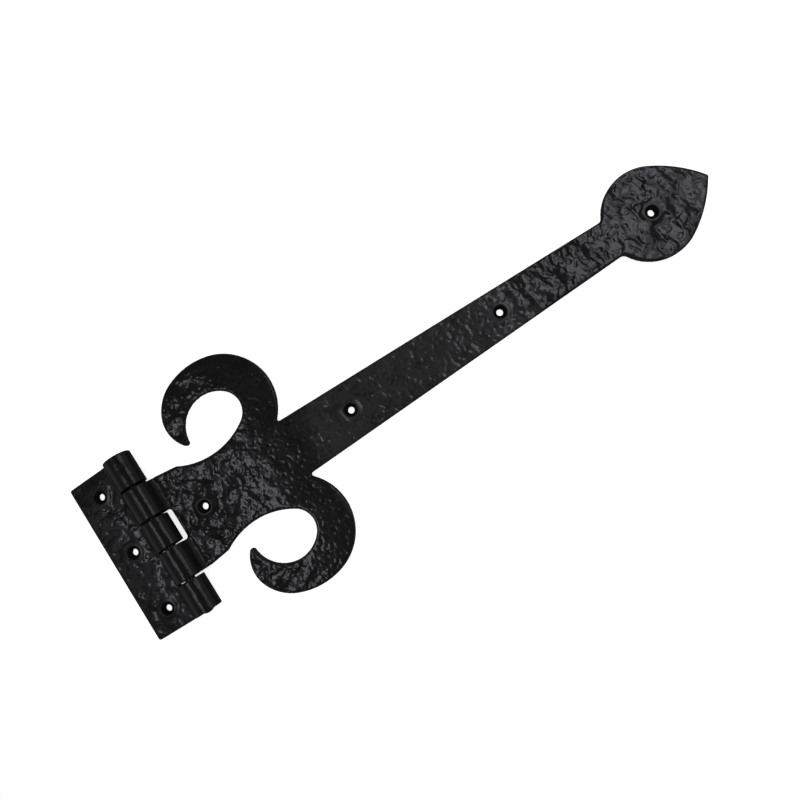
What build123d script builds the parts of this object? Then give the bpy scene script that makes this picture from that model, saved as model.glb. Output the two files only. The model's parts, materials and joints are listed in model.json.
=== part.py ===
from build123d import *
from math import asin, degrees, sqrt
import os

# A decorative T-hinge: a short jamb leaf, a long strap with a fleur-de-lis root and a spade end,
# and one pin through five knuckles. It lies flat on its back.
# Origin: on the back plane, below the middle of the pin. X runs along the strap to its tip,
# Y runs along the pin, Z points out of the front face. All sizes in millimetres.

# Plate
plate = 5.0
edge_round = 1.5

# Barrel and pin
barrel_r = 9.5
barrel_half = 58.0
pin_r = 3.5
running_gap = 0.1
pin_proud = 1.2
pin_dome = 1.0
middle_half = 10.0
end_gap = 1.5
knuckle = 22.6
crook_r = 5.0
barrel_bevel = 0.6

# Screws: No. 8 countersunk
screw_r = 2.25
sink_r = 4.4
sink_angle = 90

# Jamb leaf
leaf_reach = 40.6
leaf_edge_half = 57.3
leaf_corner_r = 1.5
leaf_screw_x = -24.9
leaf_screw_pitch = 42.6
leaf_clearance = 1.1

# Strap: root, taper and spade end
root_corner = (28.4, 32.4)
slot_depth = 11.2
slot_corner_r = 2.5
neck_half = 12.8
neck_r = 4.0
strap_screw_x = 30.9
strap_screw_pitch = 114.4
spade_x = 373.0
spade_r = 30.6
spade_shoulder = 60
tip_x = 416.4
tip_r = 1.0

# Each curl is a run of tangent arcs, given as (radius, turn in degrees):
# round the opening from the root corner, about the tip, and back along the outside
curl_heading = -30
opening_arcs = ((49.9, 63), (14.0, 99), (22.5, 134))
curl_tip_arc = (1.9, -136)
outside_arcs = ((23.0, -64), (30.4, -43), (47.7, -38), (36.4, -123))
crotch_r = 1.3

# Worked out from the sizes above
pin_z = barrel_r
pin_end = barrel_half + pin_proud
dome_start = pin_end - pin_dome
strap_knuckle_start = middle_half + end_gap
root_half = strap_knuckle_start + knuckle
outer_knuckle_start = root_half + end_gap
crook_x = sqrt((barrel_r + crook_r) ** 2 - (plate + crook_r - barrel_r) ** 2)
neck_angle = degrees(asin(neck_half / spade_r))
neck_x = spade_x - sqrt(spade_r**2 - neck_half**2)
bow_turn = spade_shoulder - (180 - neck_angle)
leaf_screws = [(leaf_screw_x, row * leaf_screw_pitch) for row in (-1, 0, 1)]
strap_screws = [(strap_screw_x + place * strap_screw_pitch, 0) for place in range(4)]


def knuckle_section(plane):
    """A knuckle and its crook down to the plate, which lies towards the plane's own -x."""
    with BuildSketch(plane) as section:
        with Locations((0, pin_z)):
            Circle(barrel_r)
        Rectangle(crook_x, plate, align=(Align.MAX, Align.MIN))
        fillet(vertices().sort_by_distance((-barrel_r, plate))[0], radius=crook_r)
    return section.sketch


# Jamb leaf: a tapered plate notched for the strap's two knuckles
with BuildPart() as jamb_leaf:
    with BuildSketch():
        with BuildLine():
            Polyline(
                (0, -barrel_half),
                (0, barrel_half),
                (-crook_x, barrel_half),
                (-leaf_reach, leaf_edge_half),
                (-leaf_reach, -leaf_edge_half),
                (-crook_x, -barrel_half),
                close=True,
            )
        make_face()
        fillet(vertices().group_by(Axis.X)[0], radius=leaf_corner_r)
        notch = barrel_r + leaf_clearance
        with Locations((-notch / 2, middle_half), (-notch / 2, -outer_knuckle_start)):
            Rectangle(
                notch,
                outer_knuckle_start - middle_half,
                align=(Align.CENTER, Align.MIN),
                mode=Mode.SUBTRACT,
            )
    extrude(amount=plate)
    fillet(edges().group_by(Axis.Z)[-1], radius=edge_round)

    # Its three knuckles, each with a rounded crook down to the plate
    for low, high in (
        (-barrel_half, -outer_knuckle_start),
        (-middle_half, middle_half),
        (outer_knuckle_start, barrel_half),
    ):
        extrude(knuckle_section(Plane.XZ.offset(-high)), amount=high - low)

    # Both ends of the barrel are bevelled, over the knuckle and down its crook
    end_arcs = edges().filter_by(GeomType.CIRCLE).group_by(Axis.Y)
    chamfer(end_arcs[0] + end_arcs[-1], length=barrel_bevel)

    # Pin hole and screw holes
    with Locations(Plane.XZ.offset(-barrel_half)):
        with Locations((0, pin_z)):
            Hole(pin_r)
    with Locations(Plane.XY.offset(plate)):
        with Locations(*leaf_screws):
            CounterSinkHole(screw_r, sink_r, counter_sink_angle=sink_angle)
jamb_leaf.part.label = "jamb_leaf"


# Strap: root, curl, taper and spade as one outline, drawn for Y > 0 and mirrored
with BuildPart() as strap:
    with BuildSketch():
        with BuildLine():
            Polyline((0, 0), (0, root_half), (crook_x, root_half), root_corner)
            point, heading = Vector(root_corner), Vector(1, 0).rotate(Axis.Z, curl_heading)
            for radius, turn in (*opening_arcs, curl_tip_arc, *outside_arcs):
                arc = JernArc(point, heading, radius, turn)
                point, heading = arc @ 1, arc % 1
            crotch = point
            bow = CenterArc((spade_x, 0), spade_r, 180 - neck_angle, bow_turn)
            Line(crotch, bow @ 0)
            TangentArc(bow @ 1, (tip_x, 0), tangent=bow % 1)
            mirror(about=Plane.XZ)
        make_face()
        for side in (1, -1):
            fillet(vertices().sort_by_distance((crotch.X, side * crotch.Y))[0], radius=crotch_r)
            fillet(vertices().sort_by_distance((neck_x, side * neck_half))[0], radius=neck_r)
        fillet(vertices().sort_by_distance((tip_x, 0))[0], radius=tip_r)
        Rectangle(
            slot_depth,
            2 * strap_knuckle_start,
            align=(Align.MIN, Align.CENTER),
            mode=Mode.SUBTRACT,
        )
        for side in (1, -1):
            inner_corner = (slot_depth, side * strap_knuckle_start)
            fillet(vertices().sort_by_distance(inner_corner)[0], radius=slot_corner_r)
    extrude(amount=plate)
    fillet(edges().group_by(Axis.Z)[-1], radius=edge_round)

    # Its two knuckles
    for low in (-root_half, strap_knuckle_start):
        facing_leaf = Plane((0, low, 0), x_dir=(-1, 0, 0), z_dir=(0, 1, 0))
        extrude(knuckle_section(facing_leaf), amount=knuckle)

    # Pin hole and screw holes
    with Locations(Plane.XZ.offset(-root_half)):
        with Locations((0, pin_z)):
            Hole(pin_r + running_gap)
    with Locations(Plane.XY.offset(plate)):
        with Locations(*strap_screws):
            CounterSinkHole(screw_r, sink_r, counter_sink_angle=sink_angle)
strap.part.label = "strap"


# Pin: one plain rod, a little proud of the barrel and domed at both ends
with BuildPart() as hinge_pin:
    with BuildSketch(Plane.YZ):
        with BuildLine():
            Line((0, pin_z), (pin_end, pin_z))
            dome = TangentArc((pin_end, pin_z), (dome_start, pin_z + pin_r), tangent=(0, 1))
            Line(dome @ 1, (0, pin_z + pin_r))
            mirror(about=Plane.YZ)
        make_face()
    revolve(axis=Axis((0, 0, pin_z), (0, 1, 0)))
hinge_pin.part.label = "hinge_pin"


os.makedirs("parts", exist_ok=True)
export_step(jamb_leaf.part, "parts/jamb_leaf.step")
export_step(strap.part, "parts/strap.step")
export_step(hinge_pin.part, "parts/hinge_pin.step")
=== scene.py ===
"""The looks of a black cast T-hinge: hammered castings under gloss black paint, on a pale floor.

Everything is in metres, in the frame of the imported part: X along the strap, Y along the pin, Z up
out of the hammered face. Sizes of the surface's detail are in millimetres.
"""
import json
import math

import bmesh
import bpy
import numpy as np
from mathutils import Matrix, Vector, noise


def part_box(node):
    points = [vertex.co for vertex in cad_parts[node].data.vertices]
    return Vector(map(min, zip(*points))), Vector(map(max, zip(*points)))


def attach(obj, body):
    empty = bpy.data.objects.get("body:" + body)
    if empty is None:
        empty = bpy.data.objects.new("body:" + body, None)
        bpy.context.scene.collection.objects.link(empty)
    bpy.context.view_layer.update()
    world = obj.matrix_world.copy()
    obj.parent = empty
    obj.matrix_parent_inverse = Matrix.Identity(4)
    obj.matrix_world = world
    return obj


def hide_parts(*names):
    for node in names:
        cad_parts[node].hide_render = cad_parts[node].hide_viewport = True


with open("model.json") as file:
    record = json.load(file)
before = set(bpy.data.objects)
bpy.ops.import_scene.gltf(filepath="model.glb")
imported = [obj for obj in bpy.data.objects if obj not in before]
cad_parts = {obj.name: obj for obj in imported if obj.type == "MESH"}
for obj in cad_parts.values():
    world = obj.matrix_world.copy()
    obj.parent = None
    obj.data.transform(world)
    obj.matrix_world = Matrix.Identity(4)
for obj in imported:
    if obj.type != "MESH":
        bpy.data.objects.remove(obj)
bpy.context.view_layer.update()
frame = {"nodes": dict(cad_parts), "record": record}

MM = 0.001

# Sizes read from the frame. Past its root the strap is a plain plate
past_root = 0.1
strap_points = np.array([vertex.co for vertex in frame["nodes"]["strap"].data.vertices])
barrel_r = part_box("jamb_leaf")[1].z / 2
plate_top = strap_points[strap_points[:, 0] > past_root][:, 2].max()
strap_knuckle_end = strap_points[strap_points[:, 0] < -barrel_r / 2][:, 1].max()

# Face sizes of the two castings' meshes, fine enough for the relief
strap_face = 0.61 * MM
leaf_face = 0.42 * MM

# What counts as the flat back, and how far from the barrel's radius a vertex is still put right
back_top = 0.01 * MM
back_normal = -0.999
barrel_slack = 0.15 * MM

# Painted shade: a low dark block on the leaf under each outer gap of the barrel, standing for the
# shade the real hinge has there, so that the floor doesn't show through
shade_block_clear = 0.2 * MM
shade_block_width = 1.8 * MM
shade_block_start = -11.5 * MM
shade_block_end = -7.0 * MM
shade_block_top = 3.0 * MM

# Relief of the hammered face. A pair of sizes, depths or reaches is the one at the root and on the
# leaf, then the one at the spade, where the lumps have given way to flats between small steps and to
# sharp folds. It changes over along one of these stretches of the strap. A level is the height of a
# layer's noise that leaves the casting as it is
crinkles_grow = (120, 240)
waves_grow = (335, 375)
wave_size = 19.0
wave_depth = (1.1, 1.3)
wave_level = 0.2
step_size = 11.0
step_count = 2.6
step_width = 0.24
step_depth = (0.10, 0.55)
step_level = 0.3
fold_size = 8.5
fold_depth = (0.0, 0.95)
fold_level = 0.25
lump_sizes = (6.8, 5.0)
lump_depth = (0.72, 0.36)
lump_level = 0.35
knob_size = 3.6
knob_depth = (0.10, 0.0)
knob_level = 0.35
pock_size = 2.7
pock_depth = (0.22, 0.24)
pock_brink = (0.05, 0.45)
grain_size = 1.7
grain_depth = (0.12, 0.08)
grain_level = 0.4

# The marks wander, and y is scaled before they are read, so that near the spade they are longer
# across the strap than along it
warp_size = 7.0
warp_reach = (1.0, 3.0)
cross_scale = (1.0, 0.55)

# Where in the endless noise each layer is read
warp_shifts = (31.7, 47.3, 63.1)
wave_shift = 53.3
step_shift = 77.7
fold_shift = 91.3
lump_shift = 3.1
knob_shift = 23.9
pock_shift = 19.4
grain_shift = 11.9
mottle_shift = 41.9

# Round the mouth of each screw hole: a smooth lip, a shallow dish, and a gentle rise of the
# hammered face
mouth_r = 4.4
lip_r = 4.8
dish_r = 5.9
dish_width = 1.2
dish_depth = 0.10
hammer_grows = (5.2, 8.5)
rise_r = 12.0
rise_height = (0.05, 0.45)

# The leaf keeps less of the coarse and of the fine relief
leaf_shares = (0.86, 0.55)

# Along the strap, from the curls on, the hammering calms down and the face turns sandy: where each
# comes in and fades out, and how much of the relief the calm leaves, which grows along the strap
calm_in, calm_out = (50, 86), (150, 220)
calm_shares, calm_eases = (0.16, 0.90), (95, 165)
sand_in, sand_out = (100, 125), (240, 320)

# How much of the relief the knuckles keep. Above the plate they start, and a dish ends, over these
# heights, and a face is hammered or dished as far as it looks up
knuckle_share = 0.20
knuckle_grows = (0.2, 1.6)
dish_fades = (0.1, 1.0)
hammered_normal = (0.3, 0.9)
dished_normal = (0.9, 0.99)

# The paint's dull sheen on hammered faces, beside 1 on the sandy stretch, and the size and strength
# of its mottles
hammered_dullness = 0.17
mottles = ((2.2, 0.9), (9.0, 0.7))

# Paint. Each pair is the value where the casting's share is 0, then where it is 1: hammered for the
# bumps and the coat's roughness, dull for the sheen, and sunk for the coat's weight
paint_colour = (0.0022, 0.0022, 0.0026, 1)
paint_roughness = 0.52
paint_grain_scale = 1100
paint_grain_detail = 3
bump_height = 0.1 * MM
bump_strength = (0.12, 0.35)
coat_roughness = (0.26, 0.13)
paint_sheen = (0.1, 1.0)
coat_weight = (0.85, 0.1)

# Floor: its ends along X, its reach to each side, how far it lies below the backs, how pale it is
# under the lamps and then as the paint mirrors it, and what lifts it to white for the camera
floor_ends = (-75 * MM, 3.0)
floor_reach = 3.0
floor_drop = 0.2 * MM
floor_paleness = (0.8, 0.12)
floor_glow = 0.75

# World: its strength for the camera, as plain light, and as the paint mirrors it, from the horizon
# to overhead. A direction passes from the one to the other as its Z crosses the last pair
world_seen = 1
world_light = 0.6
world_mirrored = (0.24, 0.03)
overhead_grows = (0.25, 0.75)

# Lamps: place, widths along X and Y, and power. Flat faces mirror them towards the camera: the right
# pair near the spade, the left pair in the root, the curls and the leaf
lamp_colour = (1.0, 0.985, 1.09)
lamps = {
    "right_panel": ((0.495, 0.10, 0.49), (0.15, 0.20), 0.128),
    "right_glow": ((0.56, 0.02, 0.495), (0.34, 0.44), 0.36),
    "left_panel": ((-0.108, -0.005, 0.49), (0.07, 0.24), 0.156),
    "left_glow": ((-0.245, 0.03, 0.495), (0.23, 0.28), 0.040),
}

# The camera of the photograph, fitted to the hinge's outline and screw holes
camera_place = Vector((0.193806, -0.049081, 0.478768))
camera_aim = Vector((0.175275, -0.011696, 0.0))
camera_roll = math.radians(-33.286)
focal_over_width = 742.06 / 800
sensor_width = 36


# Fields over the castings' vertices. Points are rows of x, y and z in mm
def ramp(value, low, high):
    """0 up to low, 1 from high, smooth between."""
    t = np.clip((value - low) / (high - low), 0, 1)
    return t * t * (3 - 2 * t)


def between(ends, share):
    """From the first of two ends to the second, as the share goes from 0 to 1."""
    return ends[0] + (ends[1] - ends[0]) * share


def stretch(points, comes_in, fades_out):
    """1 along a stretch of the strap, smooth at both ends."""
    return ramp(points[:, 0], *comes_in) * (1 - ramp(points[:, 0], *fades_out))


def stepped(height, width):
    """Terraces one unit apart, flat but for a short rise between them."""
    tread = np.floor(height)
    return tread + ramp(height - tread, 0.5 - width, 0.5 + width)


def noise_field(points, size, shift):
    """Smooth noise of about -0.5 to 0.5, with lumps of about that size."""
    return np.array([noise.noise(place) for place in (points / size + shift).tolist()])


def screw_places():
    """Centres of all screw holes in plan, from the part's mounts."""
    places = []
    for mount in frame["record"]["mounts"]:
        x, y, _ = mount["pos_m"]
        if mount["kind"] == "bore":
            places.append((x, y))
        elif mount["kind"] == "bolt_pattern":
            half_x = mount["dims"].get("spacing_x_mm", 0) * MM / 2
            half_y = mount["dims"].get("spacing_y_mm", 0) * MM / 2
            places += [(x - half_x, y - half_y), (x + half_x, y + half_y)]
    return places


def screw_reach(points):
    """Distance in plan to the nearest screw hole's centre, in mm."""
    reaches = [np.hypot(points[:, 0] - x / MM, points[:, 1] - y / MM) for x, y in screw_places()]
    return np.min(reaches, axis=0)


def sunk_share(points):
    """1 inside the countersinks, 0 outside their lips."""
    return 1 - ramp(screw_reach(points), mouth_r, lip_r)


def face_share(points, normals):
    """1 on the plates' faces, little on the knuckles, 0 on the back."""
    on_knuckle = ramp(points[:, 2] - plate_top / MM, *knuckle_grows)
    return ramp(normals[:, 2], *hammered_normal) * (1 - on_knuckle * (1 - knuckle_share))


def relief(points):
    """Depth of the hammering below the plain casting, in mm. Its highest places are levelled."""
    crinkled = ramp(points[:, 0], *crinkles_grow)
    waved = ramp(points[:, 0], *waves_grow)
    warp = np.stack([noise_field(points, warp_size, shift) for shift in warp_shifts], axis=1)
    warped = points + warp * between(warp_reach, crinkled)[:, None]
    warped[:, 1] *= between(cross_scale, crinkled)

    steps = step_count * noise_field(warped, step_size, step_shift)
    flats = stepped(steps, step_width) / step_count
    folds = np.abs(noise_field(warped, fold_size, fold_shift))
    lumps = between([noise_field(warped, size, lump_shift) for size in lump_sizes], crinkled)
    knobs = noise_field(warped, knob_size, knob_shift)
    waves = noise_field(points, wave_size, wave_shift)
    coarse = between(step_depth, crinkled) * (step_level - flats)
    coarse += between(fold_depth, crinkled) * (fold_level - folds)
    coarse += between(lump_depth, crinkled) * (lump_level - lumps)
    coarse += between(knob_depth, crinkled) * (knob_level - knobs)
    coarse += between(wave_depth, waved) * (wave_level - waves)

    pocks = ramp(noise_field(points + warp, pock_size, pock_shift), *pock_brink)
    grain = noise_field(points, grain_size, grain_shift)
    fine = between(pock_depth, crinkled) * pocks
    fine += between(grain_depth, crinkled) * (grain_level - grain)

    calm_share = between(calm_shares, ramp(points[:, 0], *calm_eases))
    calm = 1 - (1 - calm_share) * stretch(points, calm_in, calm_out)
    rise = between(rise_height, crinkled) * (1 - ramp(screw_reach(points), lip_r, rise_r))
    on_strap = points[:, 0] > 0
    coarse *= calm * np.where(on_strap, 1, leaf_shares[0])
    fine *= np.sqrt(calm) * np.where(on_strap, 1, leaf_shares[1])
    return np.maximum(coarse - rise, 0) + np.maximum(fine, 0)


def dishing(points, normals):
    """Depth of the shallow dish round each screw hole, in mm."""
    reach = screw_reach(points)
    dish = ramp(reach, lip_r, dish_r) * (1 - ramp(reach, dish_r, dish_r + 2 * dish_width))
    on_plate = 1 - ramp(points[:, 2] - plate_top / MM, *dish_fades)
    return dish_depth * dish * ramp(normals[:, 2], *dished_normal) * on_plate


def paint_dullness(points, face):
    """The paint's dull sheen: most along the sandy stretch, mottled, and 0 in the countersinks."""
    dullness = np.maximum(hammered_dullness, stretch(points, sand_in, sand_out))
    for size, strength in mottles:
        dullness *= 1 + strength * noise_field(points, size, mottle_shift)
    return face * (1 - sunk_share(points)) * dullness


# Hammered castings
def gap_shade_blocks():
    """Low and high corner of each painted-shade block: a dark block just past the outer ends of the
    strap's two knuckles, standing for the shade in the gap.
    """
    inner = strap_knuckle_end + shade_block_clear
    outer = inner + shade_block_width
    sides = ((inner, outer), (-outer, -inner))
    return [((shade_block_start, low, 0), (shade_block_end, high, shade_block_top)) for low, high in sides]


def with_blocks(mesh, blocks):
    """A copy of a mesh with plain blocks added, each given by its low and high corner."""
    shell = bmesh.new()
    shell.from_mesh(mesh)
    for corners in blocks:
        low, high = (Vector(corner) for corner in corners)
        place = Matrix.Translation((low + high) / 2) @ Matrix.Diagonal((*(high - low), 1))
        bmesh.ops.create_cube(shell, size=1, matrix=place)
    copy = bpy.data.meshes.new("with_blocks")
    shell.to_mesh(copy)
    shell.free()
    return copy


def even_copy(node, size, blocks):
    """A closed copy of a CAD node and its blocks with square faces of an even size."""
    source = bpy.data.objects.new("even_source", with_blocks(frame["nodes"][node].data, blocks))
    bpy.context.scene.collection.objects.link(source)
    remesh = source.modifiers.new("even_faces", "REMESH")
    remesh.mode = "VOXEL"
    remesh.voxel_size = size
    remeshed = source.evaluated_get(bpy.context.evaluated_depsgraph_get())
    mesh = bpy.data.meshes.new_from_object(remeshed)
    bpy.data.objects.remove(source)
    return mesh


def vertex_array(mesh, attribute):
    """The vertices' co or normal as rows of three."""
    flat = np.empty(len(mesh.vertices) * 3, np.float32)
    mesh.vertices.foreach_get(attribute, flat)
    return flat.reshape(-1, 3).astype(float)


def true_up_barrel(places):
    """Puts the knuckles' vertices exactly on the barrel's radius, for straight highlights."""
    from_pin = np.stack([places[:, 0], places[:, 2] - barrel_r], axis=1)
    reach = np.linalg.norm(from_pin, axis=1)
    near = np.abs(reach - barrel_r) < barrel_slack
    scale = np.ones(len(places))
    scale[near] = barrel_r / reach[near]
    places[:, 0] *= scale
    places[:, 2] = barrel_r + from_pin[:, 1] * scale


def plain_back(mesh):
    """Swaps the flat back's many small faces for a few large ones, shaded flat, all triangles."""
    shell = bmesh.new()
    shell.from_mesh(mesh)
    back = [
        face
        for face in shell.faces
        if face.normal.z < back_normal and face.calc_center_median().z < back_top
    ]
    bmesh.ops.delete(shell, geom=back, context="FACES")
    rim = [edge for edge in shell.edges if edge.is_boundary]
    bmesh.ops.triangle_fill(shell, edges=rim, use_beauty=True, normal=(0, 0, -1))
    bmesh.ops.triangulate(shell, faces=shell.faces)
    shell.normal_update()
    for face in shell.faces:
        face.smooth = face.normal.z > back_normal
    shell.to_mesh(mesh)
    shell.free()


def casting(node, face_size, blocks):
    """A hammered casting that stands for a CAD node, kept inside that node's box."""
    mesh = even_copy(node, face_size, blocks)
    places = vertex_array(mesh, "co")
    true_up_barrel(places)
    points = places / MM
    normals = vertex_array(mesh, "normal")
    face = face_share(points, normals)
    hammered = face * ramp(screw_reach(points), *hammer_grows)
    depth = relief(points) * hammered + dishing(points, normals)
    low, high = (np.array(corner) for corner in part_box(node))
    places = np.clip(places - normals * depth[:, None] * MM, low, high)
    mesh.vertices.foreach_set("co", places.astype(np.float32).ravel())

    # What the paint needs to know of each place
    for name, values in (
        ("hammered", hammered),
        ("dull", paint_dullness(points, face)),
        ("sunk", sunk_share(points)),
    ):
        layer = mesh.attributes.new(name, "FLOAT", "POINT")
        layer.data.foreach_set("value", values.astype(np.float32))
    plain_back(mesh)
    piece = bpy.data.objects.new(f"{node}_casting", mesh)
    bpy.context.scene.collection.objects.link(piece)
    return piece


# Materials
def blend(tree, source, ends, span=(0, 1)):
    """Output that goes from one end to the other as the source crosses the span. Either end may be
    another node's output.
    """
    level = tree.nodes.new("ShaderNodeMapRange")
    level.inputs["From Min"].default_value, level.inputs["From Max"].default_value = span
    for name, end in zip(("To Min", "To Max"), ends):
        if isinstance(end, bpy.types.NodeSocket):
            tree.links.new(end, level.inputs[name])
        else:
            level.inputs[name].default_value = end
    tree.links.new(source, level.inputs["Value"])
    return level.outputs["Result"]


def black_paint():
    """Gloss black paint over iron: even on the knuckles, grainy where hammered, dullest where sandy,
    and without its gloss in the countersinks.
    """
    material = bpy.data.materials.new("black_paint")
    material.use_nodes = True
    tree = material.node_tree
    nodes, links = tree.nodes, tree.links
    shader = nodes["Principled BSDF"]
    shader.inputs["Base Color"].default_value = paint_colour
    shader.inputs["Roughness"].default_value = paint_roughness

    where = nodes.new("ShaderNodeTexCoord")
    grain = nodes.new("ShaderNodeTexNoise")
    grain.inputs["Scale"].default_value = paint_grain_scale
    grain.inputs["Detail"].default_value = paint_grain_detail
    links.new(where.outputs["Object"], grain.inputs["Vector"])
    bumps = nodes.new("ShaderNodeBump")
    bumps.inputs["Distance"].default_value = bump_height
    links.new(grain.outputs["Fac"], bumps.inputs["Height"])
    links.new(bumps.outputs["Normal"], shader.inputs["Normal"])
    links.new(bumps.outputs["Normal"], shader.inputs["Coat Normal"])

    for name, target, ends in (
        ("hammered", bumps.inputs["Strength"], bump_strength),
        ("hammered", shader.inputs["Coat Roughness"], coat_roughness),
        ("dull", shader.inputs["Specular IOR Level"], paint_sheen),
        ("sunk", shader.inputs["Coat Weight"], coat_weight),
    ):
        share = nodes.new("ShaderNodeAttribute")
        share.attribute_name = name
        links.new(blend(tree, share.outputs["Fac"], ends), target)
    return material


def floor_paint():
    """Plain and pale from above, clear from below."""
    material = bpy.data.materials.new("pale_floor")
    material.use_nodes = True
    tree = material.node_tree
    nodes, links = tree.nodes, tree.links
    shader = nodes["Principled BSDF"]
    shader.inputs["Roughness"].default_value = 1
    shader.inputs["Specular IOR Level"].default_value = 0
    shader.inputs["Emission Color"].default_value = (1, 1, 1, 1)
    rays = nodes.new("ShaderNodeLightPath")
    pale = blend(tree, rays.outputs["Is Glossy Ray"], floor_paleness)
    glow = blend(tree, rays.outputs["Is Camera Ray"], (0, floor_glow))
    links.new(pale, shader.inputs["Base Color"])
    links.new(glow, shader.inputs["Emission Strength"])
    clear = nodes.new("ShaderNodeBsdfTransparent")
    face = nodes.new("ShaderNodeNewGeometry")
    sides = nodes.new("ShaderNodeMixShader")
    links.new(face.outputs["Backfacing"], sides.inputs["Fac"])
    links.new(shader.outputs["BSDF"], sides.inputs[1])
    links.new(clear.outputs["BSDF"], sides.inputs[2])
    links.new(sides.outputs["Shader"], nodes["Material Output"].inputs["Surface"])
    return material


def dress(piece, material):
    """Gives a piece one material in place of any that it has."""
    piece.data.materials.clear()
    piece.data.materials.append(material)


# Stage
def pale_floor():
    """The floor. It ends past the leaf, where a strap that is swung right over dips below it."""
    mesh = bpy.data.meshes.new("floor")
    sides = (-floor_reach, floor_reach)
    corners = [(x, y, 0) for y in sides for x in floor_ends]
    mesh.from_pydata(corners, [], [(0, 1, 3, 2)])
    floor = bpy.data.objects.new("floor", mesh)
    bpy.context.scene.collection.objects.link(floor)
    floor.location.z = -floor_drop
    dress(floor, floor_paint())


def studio_world():
    """White to the camera, and for the paint's mirroring darker overhead than at the horizon."""
    world = bpy.data.worlds.new("studio")
    bpy.context.scene.world = world
    world.use_nodes = True
    tree = world.node_tree
    background = tree.nodes["Background"]
    background.inputs["Color"].default_value = (1, 1, 1, 1)
    rays = tree.nodes.new("ShaderNodeLightPath")
    way = tree.nodes.new("ShaderNodeTexCoord")
    parts = tree.nodes.new("ShaderNodeSeparateXYZ")
    tree.links.new(way.outputs["Generated"], parts.inputs["Vector"])
    mirrored = blend(tree, parts.outputs["Z"], world_mirrored, overhead_grows)
    lit = blend(tree, rays.outputs["Is Glossy Ray"], (world_light, mirrored))
    seen = blend(tree, rays.outputs["Is Camera Ray"], (lit, world_seen))
    tree.links.new(seen, background.inputs["Strength"])


def lamp(name, place, size, power):
    """A soft rectangular panel that shines straight down."""
    light = bpy.data.lights.new(name, "AREA")
    light.shape = "RECTANGLE"
    light.size, light.size_y = size
    light.energy = power
    light.color = lamp_colour
    panel = bpy.data.objects.new(name, light)
    panel.location = place
    bpy.context.scene.collection.objects.link(panel)


def photo_camera():
    """The photograph's camera. Its roll is the angle from X to its right-hand side."""
    lens = bpy.data.cameras.new("photo_camera")
    lens.sensor_width = sensor_width
    lens.lens = sensor_width * focal_over_width
    camera = bpy.data.objects.new("photo_camera", lens)
    bpy.context.scene.collection.objects.link(camera)
    back = (camera_place - camera_aim).normalized()
    right = Vector((math.cos(camera_roll), math.sin(camera_roll), 0))
    right = (right - right.dot(back) * back).normalized()
    turn = Matrix((right, back.cross(right), back)).transposed().to_4x4()
    camera.matrix_world = Matrix.Translation(camera_place) @ turn
    bpy.context.scene.camera = camera


photo_camera()
pale_floor()
studio_world()
for name, (place, size, power) in lamps.items():
    lamp(name, place, size, power)

paint = black_paint()
for node, body, face_size, blocks in (
    ("strap", "strap_side", strap_face, ()),
    # The leaf also gets the painted-shade blocks, dark blocks that stand for the shade in the
    # barrel's outer gaps
    ("jamb_leaf", "jamb_side", leaf_face, gap_shade_blocks()),
):
    piece = casting(node, face_size, blocks)
    dress(piece, paint)
    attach(piece, body)
    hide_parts(node)
dress(frame["nodes"]["hinge_pin"], paint)

bpy.context.scene.view_settings.view_transform = "Standard"
